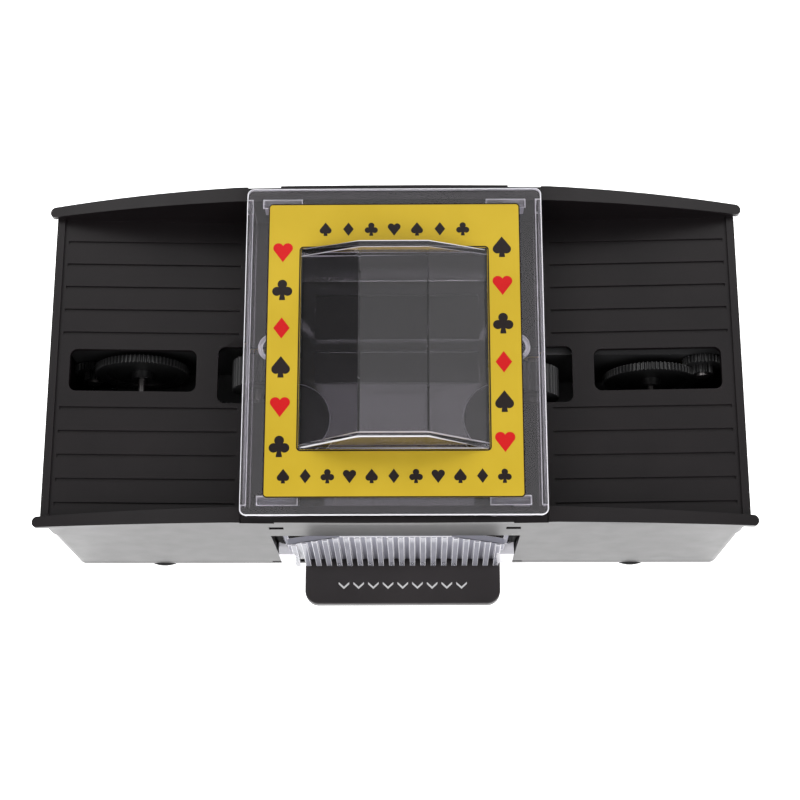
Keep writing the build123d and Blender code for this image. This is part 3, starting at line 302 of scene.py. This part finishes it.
def cover_hook_glint(face):
    """The hooks under the cover's corners get the edges' whiter material, a painted glint."""
    middle = face.center
    at_corner = abs(middle.y - MID_Y) > COVER_HALF_Y - HOOK_REACH
    hook = at_corner and HOOK_X[0] < abs(middle.x) < HOOK_X[1]
    return 1 if hook and middle.z < COVER_PLATE_Z else None


DRAWER_MATERIALS = ("drawer", "rib_painted_light", "painted_edge_highlight", "plate_painted_light")
BODY_SLOT, RIB_LIGHT_SLOT, EDGE_HIGHLIGHT_SLOT, PLATE_LIGHT_SLOT = range(len(DRAWER_MATERIALS))


def drawer_part(face):
    """The front's ribs and plate get pale, partly opaque materials as painted light, and its end
    blocks the painted edge highlight; behind the front only the edges of the finger notches keep
    the painted edge highlight."""
    middle = face.center
    if middle.y < DRAWER_FRONT:
        # painted highlight: the end blocks get the edge highlight material
        end_block = abs(middle.x) > END_BLOCK_X and middle.z < END_BLOCK_TOP
        if end_block or face.material_index == EDGE_HIGHLIGHT_SLOT:
            return EDGE_HIGHLIGHT_SLOT
        return PLATE_LIGHT_SLOT if middle.y > PLATE_FACE_Y else RIB_LIGHT_SLOT
    reach = math.hypot(abs(middle.x) - NOTCH[0], middle.y - MID_Y - NOTCH[1])
    # painted highlight: the rounded edges round the finger notches keep the edge highlight
    # material
    on_notch_highlight = abs(reach - NOTCH[2]) < NOTCH_HIGHLIGHT_BAND
    return None if on_notch_highlight else BODY_SLOT


def make_housing():
    """The black pieces that get rounded edges, the upper housing in two finishes."""
    for name, width in EDGE_WIDTHS.items():
        if name == "upper_housing":
            shown = refined(name, width, (material_for(name), "tray"))
            painted(shown.data, tray_part)
        else:
            refined(name, width, (material_for(name),))


def make_clear_pieces():
    """The cover and the drawer. Their rounded edges, the cover's hooks and the drawer's front
    get whiter, less clear materials as painted highlights and painted light. The drawer's
    comb-shaped front has to be split into triangles."""
    cover = refined("clear_cover", COVER_EDGE_WIDTH, ("clear", "painted_edge_highlight"), edge_slot=1)
    painted(cover.data, cover_hook_glint)
    drawer = refined(
        "card_drawer", DRAWER_EDGE_WIDTH, DRAWER_MATERIALS, edge_slot=EDGE_HIGHLIGHT_SLOT, split=True
    )
    painted(drawer.data, drawer_part)


def colour_cad_pieces():
    """All other pieces are shown as they come from the CAD."""
    replaced = {"cover_label", "clear_cover", "card_drawer", *EDGE_WIDTHS}
    for name, source in frame["nodes"].items():
        if name not in replaced:
            source.data.materials.clear()
            source.data.materials.append(MATERIALS[material_for(name)])


# ---------------------------------------------------------------- printed label
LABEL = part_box("cover_label")
LABEL_MIDDLE = (LABEL[0] + LABEL[1]) / 2
LABEL_TOP = LABEL[1].z
PRINT_RISE = 0.04 * MM
LABEL_CORNER = 1.2 * MM
SHARPEST_CORNER = 0.3 * MM
LABEL_WINDOW = (27.0 * MM, 30.3 * MM)
WINDOW_CORNER = 0.4 * MM
EDGE_LINE = 0.35 * MM
WINDOW_LINE = 0.4 * MM
WINDOW_LINE_MARGIN = 0.5 * MM
PIP_SIZE = 3.2 * MM
PIP_PITCH = 11.7 * MM
PIP_COLUMNS = (  # x and the first pip's y from the label's middle, and the pips
    (-32.3 * MM, 29.2 * MM, ("heart", "club", "diamond", "spade", "heart", "club")),
    (31.3 * MM, 30.5 * MM, ("spade", "heart", "club", "diamond", "spade", "heart")),
)
ROW_PIP_SIZE = 2.1 * MM
ROW_PIPS = ("spade", "diamond", "club", "heart")
PIP_ROWS = (  # y, half the row's length and the number of pips
    (36.2 * MM, 20.0 * MM, 7),
    (-38.0 * MM, 31.0 * MM, 11),
)


def polar_outline(circles, polygons, steps=144):
    """The outline, seen from the origin, of convex shapes that together surround it."""
    points = []
    for step in range(steps):
        angle = 2 * math.pi * step / steps
        ray = Vector((math.cos(angle), math.sin(angle)))
        reach = 0.0
        for x, y, radius in circles:
            along = ray.dot(Vector((x, y)))
            inside = radius**2 - (x * x + y * y) + along**2
            if inside > 0:
                reach = max(reach, along + math.sqrt(inside))
        for corners in polygons:
            limit = math.inf
            for start, end in zip(corners, corners[1:] + corners[:1]):
                side = Vector(end) - Vector(start)
                outward = Vector((side.y, -side.x))
                facing = outward.dot(ray)
                if facing > 1e-9:
                    limit = min(limit, outward.dot(Vector(start)) / facing)
            reach = max(reach, limit)
        points.append(tuple(ray * reach))
    return points


STEM = [(0.0, 0.35), (-0.3, -1.0), (0.3, -1.0)]
PIPS = {
    "heart": polar_outline(
        [(-0.42, 0.36, 0.47), (0.42, 0.36, 0.47)],
        [[(0.0, 0.52), (-0.83, 0.12), (0.0, -1.0), (0.83, 0.12)]],
    ),
    "diamond": polar_outline([], [[(0.0, 1.0), (-0.74, 0.0), (0.0, -1.0), (0.74, 0.0)]]),
    "spade": polar_outline(
        [(-0.4, -0.22, 0.43), (0.4, -0.22, 0.43)],
        [[(0.0, 1.0), (-0.78, 0.0), (0.0, -0.5), (0.78, 0.0)], STEM],
    ),
    "club": polar_outline(
        [(0.0, 0.52, 0.43), (-0.48, -0.16, 0.43), (0.48, -0.16, 0.43)], [STEM]
    ),
}
RED_PIPS = ("heart", "diamond")


def flat_shape(shape, points, z, depth):
    """Adds a closed flat shape with a little thickness, from z downwards, to a bmesh."""
    upper = [shape.verts.new((x, y, z)) for x, y in points]
    lower = [shape.verts.new((x, y, z - depth)) for x, y in points]
    shape.faces.new(upper)
    shape.faces.new(lower[::-1])
    for i in range(len(points)):
        j = (i + 1) % len(points)
        shape.faces.new((upper[j], upper[i], lower[i], lower[j]))


def finished(name, shape, material, body, replaced=()):
    """Turns a bmesh into a piece that rides on a body."""
    bmesh.ops.recalc_face_normals(shape, faces=shape.faces)
    mesh = bpy.data.meshes.new(name)
    shape.to_mesh(mesh)
    shape.free()
    made = bpy.data.objects.new(name, mesh)
    bpy.context.collection.objects.link(made)
    mesh.materials.append(material)
    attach(made, body)
    if replaced:
        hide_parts(*replaced)


def rounded(half_x, half_y, radius, steps=8):
    """The corners of a rounded rectangle, anticlockwise."""
    points = []
    for quarter, (sx, sy) in enumerate(((1, 1), (-1, 1), (-1, -1), (1, -1))):
        for step in range(steps + 1):
            angle = math.pi / 2 * (quarter + step / steps)
            points.append(
                (
                    sx * (half_x - radius) + radius * math.cos(angle),
                    sy * (half_y - radius) + radius * math.sin(angle),
                )
            )
    return points


def ring(shape, outer, inner, z, depth):
    """A flat closed band between two outlines that have the same number of points."""
    loops = []
    for points, height in ((outer, z), (inner, z), (inner, z - depth), (outer, z - depth)):
        loops.append([shape.verts.new((x, y, height)) for x, y in points])
    count = len(outer)
    for first, second in zip(loops, loops[1:] + loops[:1]):
        for i in range(count):
            j = (i + 1) % count
            shape.faces.new((first[i], first[j], second[j], second[i]))


def placed(points, x, y, scale=1.0):
    return [(x + px * scale, y + py * scale) for px, py in points]


def on_label(points):
    return placed(points, LABEL_MIDDLE.x, LABEL_MIDDLE.y)


def label_line(name, half_x, half_y, width):
    """A printed line that runs round inside the given half sizes."""
    shape = bmesh.new()
    outer = rounded(half_x, half_y, LABEL_CORNER)
    inner_corner = max(LABEL_CORNER - width, SHARPEST_CORNER)
    inner = rounded(half_x - width, half_y - width, inner_corner)
    ring(shape, on_label(outer), on_label(inner), LABEL_TOP, PRINT_RISE)
    finished(name, shape, MATERIALS["ink"], "cover")


def make_label():
    half = (LABEL[1] - LABEL[0]) / 2
    shape = bmesh.new()
    thickness = LABEL[1].z - LABEL[0].z - PRINT_RISE
    outer = rounded(half.x, half.y, LABEL_CORNER)
    inner = rounded(*LABEL_WINDOW, WINDOW_CORNER)
    ring(shape, on_label(outer), on_label(inner), LABEL_TOP - PRINT_RISE, thickness)
    finished("label_sheet", shape, MATERIALS["label"], "cover", ("cover_label",))
    label_line("label_edge_line", half.x, half.y, EDGE_LINE)
    window_x, window_y = (size + WINDOW_LINE_MARGIN for size in LABEL_WINDOW)
    label_line("label_window_line", window_x, window_y, WINDOW_LINE)


def print_pip(shape, pip, x, y, size):
    outline = placed(PIPS[pip], LABEL_MIDDLE.x + x, LABEL_MIDDLE.y + y, size)
    flat_shape(shape, outline, LABEL_TOP, PRINT_RISE)


def make_pips():
    """Columns of pips in red and black, and rows of small black ones."""
    red, black = bmesh.new(), bmesh.new()
    for x, first_y, pips in PIP_COLUMNS:
        for i, pip in enumerate(pips):
            ink = red if pip in RED_PIPS else black
            print_pip(ink, pip, x, first_y - i * PIP_PITCH, PIP_SIZE)
    for y, half_row, count in PIP_ROWS:
        for i in range(count):
            x = half_row * (2 * i / (count - 1) - 1)
            print_pip(black, ROW_PIPS[i % len(ROW_PIPS)], x, y, ROW_PIP_SIZE)
    finished("label_red_pips", red, MATERIALS["red_ink"], "cover")
    finished("label_black_pips", black, MATERIALS["ink"], "cover")


TAB_TOP = 8.2 * MM
MARK_COUNT = 9
MARK_PITCH = 4.6 * MM
MARK_SIZE = 1.1 * MM
MARKS_X = 1.8 * MM  # the middle of the row
MARKS_FROM_FRONT = 5.8 * MM
CHEVRON = [(-1.5, 1.0), (-1.5, 0.4), (0.0, -1.0), (1.5, 0.4), (1.5, 1.0), (0.0, -0.35)]


def make_tab_marks():
    """A row of chevrons on the lever's tab, which point to its front edge."""
    shape = bmesh.new()
    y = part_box("press_lever")[0].y + MARKS_FROM_FRONT
    for i in range(MARK_COUNT):
        x = MARKS_X + (i - MARK_COUNT // 2) * MARK_PITCH
        flat_shape(shape, placed(CHEVRON, x, y, MARK_SIZE), TAB_TOP + PRINT_RISE, PRINT_RISE)
    finished("lever_marks", shape, MATERIALS["white_ink"], "lever")


# ---------------------------------------------------------------- studio
CAMERA_ELEVATION = math.radians(73.35)
CAMERA_AZIMUTH = math.radians(-2.26)
CAMERA_ROLL = math.radians(-2.35)
CAMERA_DISTANCE = 504.4 * MM
CAMERA_AIM = Vector((1.55, -11.6, 60.0)) * MM + Vector((0, MID_Y, 0))
CAMERA_LENS = 77.8
CAMERA_SENSOR = 36.0
LIGHT_AIM = Vector((0, 0, 50.0 * MM))
FLOOR_REACH = 30.0
FLOOR_GLOW = 0.95
WORLD_GLOW = 0.22
SOFTBOXES = {  # azimuth, elevation, distance, size and power
    "front_left": (-40, 42, 1.4, (1.0, 1.0), 12),
    "front_right": (40, 42, 1.4, (1.0, 1.0), 12),
    "back_left": (-140, 42, 1.4, (1.0, 1.0), 12),
    "back_right": (146, 42, 1.4, (1.0, 1.0), 12),
    "overhead": (180, 72, 1.3, (0.38, 0.5), 0.45),
    "right_side": (109, 30, 1.3, (0.6, 0.5), 0.75),
}


def direction(azimuth, elevation):
    """The way to a point seen from the object; azimuth 0 is the front, 90 the right."""
    return Vector(
        (
            math.sin(azimuth) * math.cos(elevation),
            -math.cos(azimuth) * math.cos(elevation),
            math.sin(elevation),
        )
    )


def make_camera():
    back = direction(-CAMERA_AZIMUTH, CAMERA_ELEVATION)
    right = Vector((math.cos(CAMERA_AZIMUTH), -math.sin(CAMERA_AZIMUTH), 0))
    up = back.cross(right)
    turned_right = right * math.cos(CAMERA_ROLL) + up * math.sin(CAMERA_ROLL)
    turned_up = up * math.cos(CAMERA_ROLL) - right * math.sin(CAMERA_ROLL)
    data = bpy.data.cameras.new("camera")
    data.lens = CAMERA_LENS
    data.sensor_width = CAMERA_SENSOR
    data.clip_start = 10.0 * MM
    camera = bpy.data.objects.new("camera", data)
    turn = Matrix((turned_right, turned_up, back)).transposed().to_4x4()
    place = CAMERA_AIM + back * CAMERA_DISTANCE
    camera.matrix_world = Matrix.Translation(place) @ turn
    bpy.context.collection.objects.link(camera)
    bpy.context.scene.camera = camera


def softbox(name, azimuth, elevation, distance, size, power):
    """A rectangular area light that faces the object."""
    way = direction(math.radians(azimuth), math.radians(elevation))
    data = bpy.data.lights.new(name, "AREA")
    data.shape = "RECTANGLE"
    data.size, data.size_y = size
    data.energy = power
    light = bpy.data.objects.new(name, data)
    light.location = way * distance + LIGHT_AIM
    light.rotation_euler = way.to_track_quat("Z", "Y").to_euler()
    bpy.context.collection.objects.link(light)


def make_floor():
    shape = bmesh.new()
    bmesh.ops.create_grid(shape, x_segments=4, y_segments=4, size=FLOOR_REACH)
    mesh = bpy.data.meshes.new("floor")
    shape.to_mesh(mesh)
    shape.free()
    floor = bpy.data.objects.new("floor", mesh)
    bpy.context.collection.objects.link(floor)
    material, tree, shader = new_material("floor_pale", Roughness=0.9)
    shader.inputs["Specular IOR Level"].default_value = 0.0
    vary_colour(tree, shader, (0.89, 0.89, 0.89), (0.91, 0.91, 0.91), 3.0)
    shader.inputs["Emission Color"].default_value = (1, 1, 1, 1)
    shader.inputs["Emission Strength"].default_value = FLOOR_GLOW
    floor.data.materials.append(material)


def make_studio():
    make_floor()
    world = bpy.data.worlds.new("studio")
    world.use_nodes = True
    background = world.node_tree.nodes["Background"]
    background.inputs["Color"].default_value = (1, 1, 1, 1)
    background.inputs["Strength"].default_value = WORLD_GLOW
    bpy.context.scene.world = world
    bpy.context.scene.view_settings.view_transform = "Standard"
    for name, settings in SOFTBOXES.items():
        softbox(name, *settings)


make_housing()
make_clear_pieces()
colour_cad_pieces()
make_label()
make_pips()
make_tab_marks()
make_studio()
make_camera()
